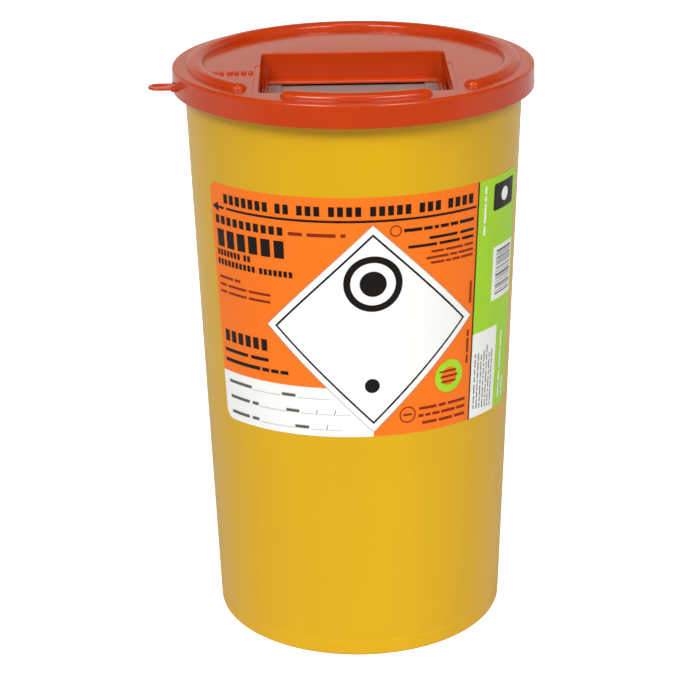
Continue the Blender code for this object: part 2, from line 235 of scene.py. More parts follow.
class Surface(Nodes):
    """A new material and its node tree, with textures laid out in metres on the object."""

    def __init__(self, name):
        self.material = bpy.data.materials.new(name)
        self.material.use_nodes = True
        super().__init__(self.material.node_tree)
        self.shader = self.tree.nodes["Principled BSDF"]
        self.coords = self.add("ShaderNodeTexCoord").outputs["Object"]

    def set(self, name, value):
        """Link or set one of the shader's inputs."""
        self.feed(self.shader.inputs[name], value)

    def stretched(self, scale):
        mapping = self.add("ShaderNodeMapping")
        mapping.inputs["Scale"].default_value = scale
        self.link(self.coords, mapping.inputs["Vector"])
        return mapping.outputs["Vector"]

    def noise(self, scale, detail=4.0, roughness=0.55, vector=None):
        node = self.add("ShaderNodeTexNoise")
        node.inputs["Scale"].default_value = scale
        node.inputs["Detail"].default_value = detail
        node.inputs["Roughness"].default_value = roughness
        self.link(vector or self.coords, node.inputs["Vector"])
        return node.outputs["Fac"]

    def mix(self, factor, first, second):
        """Blend two colours."""
        node = self.add("ShaderNodeMix", data_type="RGBA")
        for name, value in (("Factor", factor), ("A", first), ("B", second)):
            self.feed(node.inputs[name], value)
        return node.outputs["Result"]

    def bump(self, height, distance, strength, normal=None):
        node = self.add("ShaderNodeBump")
        node.inputs["Distance"].default_value = distance
        node.inputs["Strength"].default_value = strength
        self.link(height, node.inputs["Height"])
        if normal is not None:
            self.link(normal, node.inputs["Normal"])
        return node.outputs["Normal"]


def shade(colour, factor):
    """The colour made darker or lighter, opaque."""
    return (colour[0] * factor, colour[1] * factor, colour[2] * factor, 1.0)


def moulded_plastic(name, colour, roughness, specular, flow):
    """Injection-moulded polypropylene: flow marks, fine spark-eroded grain and scuffs."""
    surface = Surface(name)
    cloud = surface.remap(surface.noise(1.0, 3.0, vector=surface.stretched(flow)), 0.3, 0.7, 0.0, 1.0)
    tint = surface.mix(cloud, shade(colour, 0.94), shade(colour, 1.03))
    fleck = surface.remap(surface.noise(620.0, 2.0), 0.66, 0.74, 0.0, 0.25)
    surface.set("Base Color", surface.mix(fleck, tint, shade(colour, 0.82)))
    streaks = surface.noise(1.0, 5.0, 0.7, surface.stretched((260, 260, 22)))
    scuff = surface.remap(streaks, 0.45, 0.75, 0.0, 1.0)
    surface.set("Roughness", surface.remap(scuff, 0.0, 1.0, roughness, roughness + 0.10))
    grain = surface.bump(surface.noise(2600.0, 2.0), 0.01 * MM, 0.5)
    surface.set("Normal", surface.bump(surface.noise(45.0, 2.0), 0.3 * MM, 0.04, grain))
    surface.set("Specular IOR Level", specular)
    return surface.material


def printed_film(name, colour, roughness=0.40, variation=0.04):
    """Ink on a satin label film: faint screen mottle and a fine film texture."""
    surface = Surface(name)
    mottle = surface.remap(surface.noise(900.0, 3.0, 0.6), 0.35, 0.65, 0.0, 1.0)
    tint = surface.mix(mottle, shade(colour, 1 - variation), shade(colour, 1 + variation))
    cloud = surface.remap(surface.noise(30.0, 2.0), 0.3, 0.7, 0.0, 1.0)
    surface.set("Base Color", surface.mix(cloud, tint, shade(colour, 1 - variation * 0.5)))
    patches = surface.noise(160.0, 3.0)
    surface.set("Roughness", surface.remap(patches, 0.3, 0.7, roughness - 0.04, roughness + 0.06))
    ripple = surface.bump(surface.noise(70.0, 2.0), 0.25 * MM, 0.12)
    surface.set("Normal", surface.bump(surface.noise(3200.0, 1.0), 0.02 * MM, 0.3, ripple))
    surface.set("Specular IOR Level", 0.18)
    return surface.material


# ---- mesh helpers -----------------------------------------------------------------------
def new_object(name, edit):
    bmesh.ops.recalc_face_normals(edit, faces=edit.faces)
    mesh = bpy.data.meshes.new(name)
    edit.to_mesh(mesh)
    edit.free()
    item = bpy.data.objects.new(name, mesh)
    bpy.context.scene.collection.objects.link(item)
    return item


def smooth(item, angle):
    """Smooth shading with crisp edges, and normals led by the large faces."""
    item.data.shade_smooth()
    item.data.set_sharp_from_angle(angle=math.radians(angle))
    weighted = item.modifiers.new("weighted_normals", "WEIGHTED_NORMAL")
    weighted.keep_sharp = True
    bake_modifiers(item)


def bake_modifiers(item):
    """Replace an object's mesh by what its modifiers make of it."""
    bpy.context.view_layer.update()
    graph = bpy.context.evaluated_depsgraph_get()
    made = bpy.data.meshes.new_from_object(item.evaluated_get(graph))
    old = item.data
    item.modifiers.clear()
    item.data = made
    made.name = item.name
    bpy.data.meshes.remove(old)


def combine(target, operation, *tools):
    """Boolean the tools into the target, one by one, and remove them."""
    for tool in tools:
        modifier = target.modifiers.new(tool.name, "BOOLEAN")
        modifier.operation = operation
        modifier.solver = "EXACT"
        modifier.object = tool
        bake_modifiers(target)
        bpy.data.objects.remove(tool, do_unlink=True)


def bevel(item, width):
    modifier = item.modifiers.new("bevel", "BEVEL")
    modifier.width = width
    modifier.segments = 3
    modifier.limit_method = "ANGLE"
    modifier.angle_limit = math.radians(30)
    bake_modifiers(item)


def skin(edit, rings, closed_along, closed_round=True):
    """Quads between successive rings of points, with a face on each end if it isn't closed along."""
    made = [[edit.verts.new(point) for point in ring] for ring in rings]
    pairs = list(zip(made, made[1:]))
    if closed_along:
        pairs.append((made[-1], made[0]))
    for first, second in pairs:
        count = len(first)
        for index in range(count if closed_round else count - 1):
            after = (index + 1) % count
            edit.faces.new([first[index], first[after], second[after], second[index]])
    if not closed_along:
        edit.faces.new(made[0])
        edit.faces.new(made[-1])


def revolve(name, profile):
    """Turn a closed (radius, z) outline round Z; points at radius 0 sit on the axis."""
    edit = bmesh.new()
    rings = []
    for step in range(TURN_STEPS):
        turn = 2 * math.pi * step / TURN_STEPS
        rings.append([(radius * math.cos(turn), radius * math.sin(turn), z) for radius, z in profile])
    skin(edit, rings, closed_along=True)
    bmesh.ops.remove_doubles(edit, verts=edit.verts, dist=1e-7)
    return new_object(name, edit)


def prism(name, outline, low, high, along="Z"):
    """Extrude an outline: points (x, y) along Z, (x, z) along Y, or (y, z) along X."""
    place = {"Z": lambda a, b, depth: (a, b, depth), "Y": lambda a, b, depth: (a, depth, b),
             "X": lambda a, b, depth: (depth, a, b)}[along]
    edit = bmesh.new()
    rings = [[place(a, b, depth) for a, b in outline] for depth in (low, high)]
    skin(edit, rings, closed_along=False)
    return new_object(name, edit)


def rounded_rectangle(x_low, x_high, y_low, y_high, radius, steps=8):
    outline = []
    corners = [(x_high - radius, y_high - radius, 0), (x_low + radius, y_high - radius, 90),
               (x_low + radius, y_low + radius, 180), (x_high - radius, y_low + radius, 270)]
    for centre_x, centre_y, start in corners:
        for step in range(steps + 1):
            turn = math.radians(start + 90 * step / steps)
            outline.append((centre_x + radius * math.cos(turn), centre_y + radius * math.sin(turn)))
    return outline


def stack(name, box, corner_r, levels, steps=8):
    """A solid of stacked rounded rectangles. Each level is (z, how far it is grown)."""
    x_low, x_high, y_low, y_high = box
    edit = bmesh.new()
    rings = []
    for z, grow in levels:
        outline = rounded_rectangle(x_low - grow, x_high + grow, y_low - grow, y_high + grow,
                                    max(corner_r + grow, 0.02 * MM), steps)
        rings.append([(x, y, z) for x, y in outline])
    skin(edit, rings, closed_along=False)
    return new_object(name, edit)


def arc(centre_a, centre_b, radius, start_deg, end_deg, steps):
    points = []
    for step in range(steps + 1):
        turn = math.radians(start_deg + (end_deg - start_deg) * step / steps)
        points.append((centre_a + radius * math.cos(turn), centre_b + radius * math.sin(turn)))
    return points


def foot_levels(low_z, radius, steps):
    """Levels of a rounded lower edge."""
    levels = []
    for step in range(steps + 1):
        turn = math.radians(90 * step / steps)
        levels.append((low_z + radius * (1 - math.cos(turn)), -radius * (1 - math.sin(turn))))
    return levels


def pillow_levels(low_z, high_z, radius):
    """Levels of a plate whose upper and lower edges are rounded."""
    lower = foot_levels(low_z, radius, 5)
    return lower + [(low_z + high_z - z, grow) for z, grow in reversed(lower)]


def mouth_levels(top_z, flare_r):
    """Levels of a pocket cutter's flared mouth, and above it."""
    steps, end_deg = 8, 80
    levels = []
    for step in range(steps + 1):
        turn = math.radians(end_deg * step / steps)
        levels.append((top_z - flare_r + flare_r * math.sin(turn) / math.sin(math.radians(end_deg)),
                       flare_r * (1 - math.cos(turn))))
    levels.append((top_z + 4 * MM, flare_r * (1 - math.cos(math.radians(end_deg))) + 0.02 * MM))
    return levels


# ---- the tub ----------------------------------------------------------------------------
def make_tub(material):
    lip_low = RIM_TOP_Z - 5.0 * MM
    lip_high = RIM_TOP_Z - 3.2 * MM
    floor_corner = 4.0 * MM
    rim_out = tub_radius(RIM_TOP_Z) + 0.3 * MM
    rim_in = tub_radius(RIM_TOP_Z) - WALL + 0.2 * MM
    rim_mid = (rim_out + rim_in) / 2
    rim_round = (rim_out - rim_in) / 2
    body_low = FOOT_H + 3 * MM
    body_high = lip_low - 2 * MM
    outline = [(0, 0)]
    outline += arc(tub_radius(0) - BASE_EDGE_R, BASE_EDGE_R, BASE_EDGE_R, -90, 0, 10)
    outline += [
        (tub_radius(FOOT_H - 0.3 * MM), FOOT_H - 0.3 * MM),
        (tub_radius(FOOT_H) - 0.06 * MM, FOOT_H),
        (tub_radius(FOOT_H) - FOOT_STEP, FOOT_H + 0.5 * MM),
        (tub_radius(FOOT_H + 1.2 * MM) - 0.17 * MM, FOOT_H + 1.2 * MM),
    ]
    bands = 14
    for band in range(bands + 1):
        z = body_low + (body_high - body_low) * band / bands
        outline.append((tub_radius(z), z))
    outline += [
        (RIM_LIP_R - 0.3 * MM, lip_low),
        (RIM_LIP_R, lip_low + 0.3 * MM),
        (RIM_LIP_R, lip_high - 0.3 * MM),
        (RIM_LIP_R - 0.3 * MM, lip_high),
        (tub_radius(RIM_TOP_Z) + 0.6 * MM, lip_high + 0.6 * MM),
    ]
    outline += arc(rim_mid, RIM_TOP_Z - rim_round, rim_round, 0, 180, 8)
    inner_floor_r = tub_radius(FLOOR_T) - WALL - floor_corner
    outline += arc(inner_floor_r, FLOOR_T + floor_corner, floor_corner, 0, -90, 10)
    outline.append((0, FLOOR_T))
    tub = revolve("tub_body", outline)
    tub.data.materials.append(material)
    smooth(tub, 50)
    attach(tub, "tub")
    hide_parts("tub")


# ---- the lid ----------------------------------------------------------------------------
def bead_profile():
    """Half of the bead's section, from its crest to below the deck: (across, up)."""
    roundness = 2.3
    points = []
    for step in range(12):
        turn = math.radians(84 * step / 11)
        points.append((BEAD_HALF_W * math.sin(turn) ** (2 / roundness),
                       BEAD_H * math.cos(turn) ** (2 / roundness)))
    foot = BEAD_HALF_W + BEAD_FILLET
    root = -0.7 * MM
    points += [(BEAD_HALF_W + 0.06 * MM, BEAD_FILLET * 0.45), (foot, 0.02 * MM)]
    points += [(foot + 0.05 * MM, root), (0.0, root)]
    return points


def bead(name, start_deg, end_deg, arc_steps):
    """A half-round bead on the deck along an arc, with round noses.

    Angles run from the front (-Y), positive towards +X.
    """
    def centre(angle):
        turn = math.radians(angle)
        return Vector((BEAD_R * math.sin(turn), -BEAD_R * math.cos(turn), DECK_Z))

    def outward(angle):
        turn = math.radians(angle)
        return Vector((math.sin(turn), -math.cos(turn), 0))

    stations = []
    nose_steps = 14
    span = end_deg - start_deg
    for step in range(arc_steps + 1):
        angle = start_deg + span * step / arc_steps
        stations.append((centre(angle), outward(angle)))
    for step in range(1, nose_steps):
        turn = Matrix.Rotation(math.pi * step / nose_steps, 3, "Z")
        stations.append((centre(end_deg), turn @ outward(end_deg)))
    for step in range(arc_steps + 1):
        angle = end_deg - span * step / arc_steps
        stations.append((centre(angle), -outward(angle)))
    for step in range(1, nose_steps):
        turn = Matrix.Rotation(math.pi * step / nose_steps, 3, "Z")
        stations.append((centre(start_deg), turn @ -outward(start_deg)))

    edit = bmesh.new()
    rings = [[middle + away * across + Vector((0, 0, up)) for across, up in bead_profile()]
             for middle, away in stations]
    skin(edit, rings, closed_along=True, closed_round=False)
    bmesh.ops.remove_doubles(edit, verts=edit.verts, dist=1e-7)
    return new_object(name, edit)


def lid_shell():
    underside = DECK_Z - DECK_T
    outline = [(0, DECK_Z), (LID_R * 0.5, DECK_Z), (CROWN_R, DECK_Z)]
    outline += arc(LID_R - EDGE_R - 0.2 * MM, DECK_Z - EDGE_R, EDGE_R, 90, 0, 8)
    outline += [(LID_R, SKIRT_Z + 0.6 * MM)]
    outline += arc(LID_R - 0.5 * MM, SKIRT_Z + 0.5 * MM, 0.5 * MM, 0, -90, 4)
    outline += arc(LID_R - SKIRT_T + 0.4 * MM, SKIRT_Z + 0.4 * MM, 0.4 * MM, -90, -180, 4)
    outline += [
        (LID_R - SKIRT_T, underside),
        (PLUG_R, underside),
        (PLUG_R, PLUG_Z + 0.8 * MM),
        (PLUG_R - 0.4 * MM, PLUG_Z),
        (PLUG_R - PLUG_T, PLUG_Z),
        (PLUG_R - PLUG_T, underside),
        (0, underside),
    ]
    return revolve("lid_cover", outline)


def lid_rails():
    """The rails, hooks and stop that hold the door."""
    hook_top = DOOR_TOP_Z - DOOR_RUNNER_T - HOOK_GAP
    hook_low = hook_top - HOOK_T
    in_floor = WELL_FLOOR_Z - 0.4 * MM
    in_deck = DECK_Z - 1.0 * MM
    guide_low = WELL_FLOOR_Z - WELL_FLOOR_T
    guide_high = guide_low + 1.3 * MM
    low_side = [(RAIL_OUT_X, hook_low), (RAIL_OUT_X, in_floor), (RAIL_IN_X, in_floor),
                (RAIL_IN_X, hook_top), (HOOK_X, hook_top), (HOOK_X, hook_low)]
    high_side = [(RAIL_OUT_X, hook_top + 0.6 * MM), (RAIL_OUT_X, in_deck), (RAIL_IN_X, in_deck),
                 (RAIL_IN_X, guide_high), (HOOK_X, guide_high), (HOOK_X, guide_low),
                 (RAIL_IN_X, guide_low), (RAIL_IN_X, hook_top + 0.6 * MM)]
    solids = []
    for side, mirror in (("left", -1), ("right", 1)):
        low = [(mirror * x, z) for x, z in low_side]
        high = [(mirror * x, z) for x, z in high_side]
        solids.append(prism(f"rail_{side}", low, RAIL_FRONT_Y, RAIL_BACK_Y - 0.3 * MM, along="Y"))
        solids.append(prism(f"web_{side}", high, WELL_BACK_Y + 0.6 * MM, RAIL_BACK_Y - 0.5 * MM, along="Y"))
    stop_x = RAIL_OUT_X - 0.2 * MM
    solids.append(prism("door_stop", [(-stop_x, RAIL_BACK_Y - STOP_T), (stop_x, RAIL_BACK_Y - STOP_T),
                                      (stop_x, RAIL_BACK_Y), (-stop_x, RAIL_BACK_Y)],
                        hook_low + 0.2 * MM, in_deck - 0.2 * MM))
    return solids


def tag_loop():
    """A flat loop with its slot towards the back, on a boss; both end inside the skirt's wall."""
    root_x = -LID_R + 9.0 * MM
    half_t = LOOP_T / 2
    loop = stack("loop", (LOOP_TIP_X, root_x, LOOP_Y - LOOP_HALF_W, LOOP_Y + LOOP_HALF_W),
                 LOOP_HALF_W - 0.2 * MM, pillow_levels(LOOP_Z - half_t, LOOP_Z + half_t, 0.4 * MM), 14)
    slot = stack("slot", (LOOP_TIP_X + LOOP_BAND, LOOP_BOSS_X - LOOP_WEB,
                          LOOP_Y - LOOP_HALF_W + LOOP_FRONT_BAND, LOOP_Y + LOOP_HALF_W - LOOP_BAND),
                 1.9 * MM, [(LOOP_Z - LOOP_T, 0.4 * MM), (LOOP_Z - half_t + 0.2 * MM, 0),
                            (LOOP_Z + half_t - 0.2 * MM, 0), (LOOP_Z + LOOP_T, 0.4 * MM)], 10)
    combine(loop, "DIFFERENCE", slot)
    boss = stack("boss", (LOOP_BOSS_X, root_x, LOOP_Y - LOOP_BOSS_HALF, LOOP_Y + LOOP_BOSS_HALF),
                 1.0 * MM, pillow_levels(LOOP_Z - LOOP_BOSS_T / 2, LOOP_Z + LOOP_BOSS_T / 2, 0.5 * MM))
    combine(loop, "UNION", boss)
    mid_wall = LID_R - SKIRT_T / 2
    core = [(0, SKIRT_Z - MM), (mid_wall, SKIRT_Z - MM), (mid_wall, DECK_Z), (0, DECK_Z)]
    combine(loop, "DIFFERENCE", revolve("core", core))
    return loop


def raised_blocks():
    """The row of plain raised blocks on the deck, left of the well."""
    solids = []
    top = DECK_Z + BLOCK_H
    for index, width in enumerate(BLOCK_WIDTHS):
        x_low = BLOCK_FIRST_X + index * BLOCK_PITCH
        levels = [(DECK_Z - 0.5 * MM, 0), (top - 0.8 * MM, 0), (top - 0.45 * MM, -0.12 * MM),
                  (top - 0.18 * MM, -0.35 * MM), (top - 0.04 * MM, -0.7 * MM), (top, -0.95 * MM)]
        box = x_low, x_low + width, BLOCK_Y - BLOCK_L / 2, BLOCK_Y + BLOCK_L / 2
        solids.append(stack(f"block_{index}", box, 0.8 * MM, levels, 4))
    return solids


def side_ribs():
    """Two low flat-topped ribs along each side of the aperture; they steer what is dropped in."""
    back_y, front_y, height, lead = 6.0 * MM, -28.0 * MM, 4.0 * MM, 3.0 * MM
    foot = WELL_FLOOR_Z - 0.3 * MM
    top = WELL_FLOOR_Z + height
    outline = [(back_y, foot), (back_y, WELL_FLOOR_Z + 0.5 * MM), (back_y - lead, top),
               (front_y, top), (front_y, foot)]
    ribs = []
    for mirror in (-1, 1):
        for inner_x, outer_x in ((41.6 * MM, 42.4 * MM), (42.8 * MM, 43.7 * MM)):
            x_low, x_high = sorted((mirror * inner_x, mirror * outer_x))
            ribs.append(prism("rib", outline, x_low, x_high, along="X"))
    return ribs


def back_sill():
    """The sill at the foot of the well's back wall, chamfered towards the aperture."""
    height, chamfer, setback = 1.1 * MM, 1.4 * MM, 0.4 * MM
    foot = WELL_FLOOR_Z - 0.3 * MM
    toe = APERTURE_BACK_Y + setback
    outline = [(WELL_BACK_Y + 0.3 * MM, foot), (WELL_BACK_Y + 0.3 * MM, WELL_FLOOR_Z + height),
               (toe + chamfer, WELL_FLOOR_Z + height), (toe, WELL_FLOOR_Z + 0.02 * MM), (toe, foot)]
    return prism("sill", outline, -APERTURE_X, APERTURE_X, along="X")


def crown_deck(lid):
    """Let the deck fall a little towards the bead, round the back half of the lid."""
    foot_r = BEAD_R - BEAD_HALF_W - BEAD_FILLET
    near_foot = CROWN_R + 5 * MM, foot_r + 0.2 * MM
    for vert in lid.data.vertices:
        radius = math.hypot(vert.co.x, vert.co.y)
        on_deck = abs(vert.co.z - DECK_Z) < 0.03 * MM
        if on_deck and near_foot[0] < radius < near_foot[1]:
            from_back = math.degrees(math.atan2(abs(vert.co.x), vert.co.y))
            share = min(1.0, max(0.0, (CROWN_END_DEG - from_back) / CROWN_FADE_DEG))
            slope = (radius - CROWN_R) / (foot_r - CROWN_R)
            vert.co.z -= CROWN_DROP * slope * share * share * (3 - 2 * share)


def well_cutters():
    """The well, its aperture and the two shallow strips beside it."""
    well = stack("well", (-WELL_X, WELL_X, WELL_FRONT_Y, WELL_BACK_Y), WELL_CORNER_R,
                 foot_levels(WELL_FLOOR_Z, WELL_FOOT_R, 8) + mouth_levels(DECK_Z, WELL_RIM_R))
    aperture = stack("aperture", (-APERTURE_X, APERTURE_X, APERTURE_FRONT_Y, APERTURE_BACK_Y),
                     2.0 * MM, [(WELL_FLOOR_Z - 3 * MM, 0.0)] + mouth_levels(WELL_FLOOR_Z, 0.55 * MM))
    cutters = [well, aperture]
    for side, mirror in (("left", -1), ("right", 1)):
        inner_x, outer_x = sorted((mirror * (WELL_X - 1.0 * MM), mirror * STRIP_X))
        floor_z = DECK_Z - STRIP_DEPTH
        levels = [(floor_z, -0.15 * MM), (floor_z + 0.15 * MM, 0), (DECK_Z - 0.1 * MM, 0.02 * MM),
                  (DECK_Z + 0.3 * MM, 0.3 * MM)]
        cutters.append(stack(f"strip_{side}", (inner_x, outer_x, WELL_FRONT_Y + 2 * MM, STRIP_BACK_Y),
                             0.5 * MM, levels, 3))
    return cutters


def make_lid(material):
    lid = lid_shell()
    tray = stack("tray", (-WELL_X - WELL_WALL, WELL_X + WELL_WALL, WELL_FRONT_Y - WELL_WALL,
                          WELL_BACK_Y + WELL_WALL), WELL_CORNER_R + WELL_WALL,
                 [(WELL_FLOOR_Z - WELL_FLOOR_T, 0), (DECK_Z - 0.9 * MM, 0)])
    combine(lid, "UNION", tray)
    combine(lid, "DIFFERENCE", *well_cutters())
    combine(lid, "UNION", *lid_rails(), *side_ribs(), back_sill())
    combine(lid, "UNION", bead("long_bead", BEAD_START_DEG, 360 - BEAD_START_DEG, 180))
    combine(lid, "UNION", bead("front_bead", -FRONT_BEAD_DEG, FRONT_BEAD_DEG, 36))
    combine(lid, "UNION", *raised_blocks())
    combine(lid, "UNION", tag_loop())
    crown_deck(lid)
    lid.data.materials.clear()
    lid.data.materials.append(material)
    smooth(lid, 38)
    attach(lid, "lid")
    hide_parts("lid")


# ---- the door ---------------------------------------------------------------------------
def make_door(material):
    panel_top = DOOR_TOP_Z - DOOR_PANEL_DROP
    runner_low = DOOR_TOP_Z - DOOR_RUNNER_T
    panel_low = panel_top - DOOR_PANEL_T
    inner_x = DOOR_HIGH.x - DOOR_RUNNER_W
    slope = 0.4 * MM
    upper = [(DOOR_HIGH.x, runner_low), (DOOR_HIGH.x, DOOR_TOP_Z), (inner_x, DOOR_TOP_Z),
             (inner_x - slope, panel_top)]
    under = [(inner_x - slope, panel_low), (inner_x + slope, runner_low)]
    outline = upper + [(-x, z) for x, z in reversed(upper)]
    outline += [(-x, z) for x, z in reversed(under)] + under
    door = prism("sliding_door", outline, DOOR_LOW.y, DOOR_HIGH.y, along="Y")
    tab_x, tab_y, tab_t = 14.0 * MM, DOOR_LOW.y + 4.0 * MM, 2.2 * MM
    tab_top = DOOR_HIGH.z
    tab = stack("tab", (-tab_x, tab_x, tab_y, tab_y + tab_t), 0.9 * MM,
                [(panel_top - 0.5 * MM, 0), (tab_top - 0.6 * MM, 0), (tab_top - 0.2 * MM, -0.15 * MM),
                 (tab_top, -0.5 * MM)])
    combine(door, "UNION", tab)
    bevel(door, 0.3 * MM)
    door.data.materials.clear()
    door.data.materials.append(material)
    smooth(door, 40)
    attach(door, "door")
    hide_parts("door")


# ---- the label --------------------------------------------------------------------------
def on_tub(x, z, lift):
    """A point of the label's artwork, laid on the tub: x and z in mm, lift in mm."""
    angle = x / MM_PER_DEG + ARTWORK_TURN_DEG
    level = (z - LABEL_MID_Z) / LABEL_HALF_Z
    droop = (DROOP_LOW + DROOP_HIGH) / 2 - (DROOP_LOW - DROOP_HIGH) / 2 * level
    height = (z - droop * ((angle - LABEL_MID_DEG) / LABEL_HALF_DEG) ** 2) * MM
    turn = math.radians(angle * (1 + NARROWING * level))
    radius = tub_radius(height) + lift * MM
    return (radius * math.sin(turn), -radius * math.cos(turn), height)


def laid_film(name, polygons, lift, thickness, material):
    """Flat convex polygons, wrapped round the tub as one closed film of this thickness."""
    flat = bmesh.new()
    for polygon in polygons:
        flat.faces.new([flat.verts.new((x, z, 0)) for x, z in polygon])
    bmesh.ops.remove_doubles(flat, verts=flat.verts, dist=1e-4)
    low = min(vert.co.x for vert in flat.verts)
    high = max(vert.co.x for vert in flat.verts)
    for cut in range(math.ceil(low / SLICE), math.floor(high / SLICE) + 1):
        geometry = flat.verts[:] + flat.edges[:] + flat.faces[:]
        bmesh.ops.bisect_plane(flat, geom=geometry, dist=1e-5,
                               plane_co=(cut * SLICE, 0, 0), plane_no=(1, 0, 0))
    bmesh.ops.recalc_face_normals(flat, faces=flat.faces)
    flat.verts.index_update()
    film = bmesh.new()
    lower = [film.verts.new(on_tub(vert.co.x, vert.co.y, lift)) for vert in flat.verts]
    upper = [film.verts.new(on_tub(vert.co.x, vert.co.y, lift + thickness)) for vert in flat.verts]
    for face in flat.faces:
        corners = [vert.index for vert in face.verts]
        film.faces.new([lower[index] for index in corners])
        film.faces.new([upper[index] for index in reversed(corners)])
    for edge in flat.edges:
        if len(edge.link_faces) == 1:
            first, second = (vert.index for vert in edge.verts)
            film.faces.new([lower[first], lower[second], upper[second], upper[first]])
    flat.free()
    piece = new_object(name, film)
    piece.data.materials.append(material)
    piece.data.shade_smooth()
    piece.data.set_sharp_from_angle(angle=math.radians(30))
    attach(piece, "tub")
    return piece


# ---- the print: flat polygons, x along the label and z up it, in mm ----------------------
def bar(x_low, x_high, z_low, z_high):
    return [(x_low, z_low), (x_high, z_low), (x_high, z_high), (x_low, z_high)]


def sheet_columns(x_low, x_high, z_low, z_high, corner):
    """A rectangle with round corners, as upright strips."""
    inset = [(across * corner, depth * corner) for across, depth in CORNER_CURVE]
    columns = [(x_low + a, b) for a, b in inset] + [(x_high - a, b) for a, b in reversed(inset)]
    strips = []
    for (x_a, in_a), (x_b, in_b) in zip(columns, columns[1:]):
        strips.append([(x_a, z_low + in_a), (x_b, z_low + in_b), (x_b, z_high - in_b), (x_a, z_high - in_a)])
    return strips


def disc(centre_x, centre_z, radius, steps=48):
    return [[(centre_x + radius * math.cos(2 * math.pi * k / steps),
              centre_z + radius * math.sin(2 * math.pi * k / steps)) for k in range(steps)]]


def ring(centre_x, centre_z, outer, inner, steps=64):
    quads = []
    for k in range(steps):
        a, b = (math.radians(360 * (k + j) / steps) for j in (0, 1))
        quads.append([(centre_x + r * math.cos(t), centre_z + r * math.sin(t))
                      for r, t in ((inner, a), (outer, a), (outer, b), (inner, b))])
    return quads


def diamond(half):
    """The white diamond's corners, for this half diagonal: top, left, bottom, right."""
    corners = [(0, 1), (-1, 2 * DIAMOND_SKEW), (0, -1), (1, DIAMOND_SKEW)]
    return [(DIAMOND_X + x * half, DIAMOND_Z + z * half) for x, z in corners]


def diamond_frame(outer, inner):
    outside, inside = diamond(outer), diamond(inner)
    return [[outside[k], outside[k - 1], inside[k - 1], inside[k]] for k in range(4)]


def blocks(left_deg, right_deg, z_low, z_high, groups, gap=0.36):
    """A line of plain blocks in groups; groups lists how many blocks each has."""
    space = 0.65
    x_low, x_high = left_deg * MM_PER_DEG, right_deg * MM_PER_DEG
    units = sum(groups) + space * (len(groups) - 1)
    pitch = (x_high - x_low) / units
    made, x = [], x_low
    for count in groups:
        for _ in range(count):
            made.append(bar(x + gap * pitch / 2, x + pitch * (1 - gap / 2), z_low, z_high))
            x += pitch
        x += space * pitch
    return made


def spans(low, high, lengths, space):
    """Where the words of a line from low to high start and end; lengths are relative."""
    pitch = (high - low) / (sum(lengths) + space * (len(lengths) - 1))
    made, start = [], low
    for length in lengths:
        made.append((start, start + length * pitch))
        start += (length + space) * pitch
    return made


def words(left_deg, right_deg, z_low, z_high, lengths, space=1.0):
    """A line of plain bars, one for each word."""
    inset = 0.12 * (z_high - z_low)
    line = spans(left_deg * MM_PER_DEG, right_deg * MM_PER_DEG, lengths, space)
    return [bar(start, end, z_low + inset, z_high - inset) for start, end in line]


def upright_words(at_deg, width, z_low, z_high, lengths):
    """As words(), but the line runs up the label."""
    middle = at_deg * MM_PER_DEG
    line = spans(z_low, z_high, lengths, 1.0)
    return [bar(middle - width / 2, middle + width / 2, start, end) for start, end in line]


def dots(left_deg, right_deg, z):
    """A dotted line to write on."""
    size, pitch = 0.32, 0.75
    x, x_high = left_deg * MM_PER_DEG, right_deg * MM_PER_DEG
    made = []
    while x < x_high:
        made.append(bar(x, x + size, z, z + size))
        x += pitch
    return made


def green_side():
    """The part right of the border, with the label's round corners."""
    columns = sheet_columns(2 * BORDER_X - LABEL_RIGHT_X, LABEL_RIGHT_X, LABEL_LOW, LABEL_HIGH, LABEL_CORNER)
    corner_start = LABEL_RIGHT_X - LABEL_CORNER
    corners = [column for column in columns if column[0][0] > corner_start - 0.01]
    return [bar(BORDER_X, corner_start, LABEL_LOW, LABEL_HIGH)] + corners


def form_area():
    """The white form: under FORM_TOP, left of the diamond, with the label's round corner."""
    columns = sheet_columns(LABEL_LEFT_X, DIAMOND_X, LABEL_LOW, 2 * FORM_TOP - LABEL_LOW, LABEL_CORNER)
    corner_end = LABEL_LEFT_X + LABEL_CORNER
    corners = [[(x, min(z, FORM_TOP)) for x, z in column]
               for column in columns if column[1][0] < corner_end + 0.01]
    return corners + [bar(corner_end, DIAMOND_X, LABEL_LOW, FORM_TOP)]


def white_panels():
    """The green side's two panels, for the columns of notes and for the barcode."""
    return [bar(BORDER_X + 0.4, 60.7 * MM_PER_DEG, LABEL_LOW, 163.9),
            bar(55.3 * MM_PER_DEG, 71.3 * MM_PER_DEG, 177.4, 204.3)]


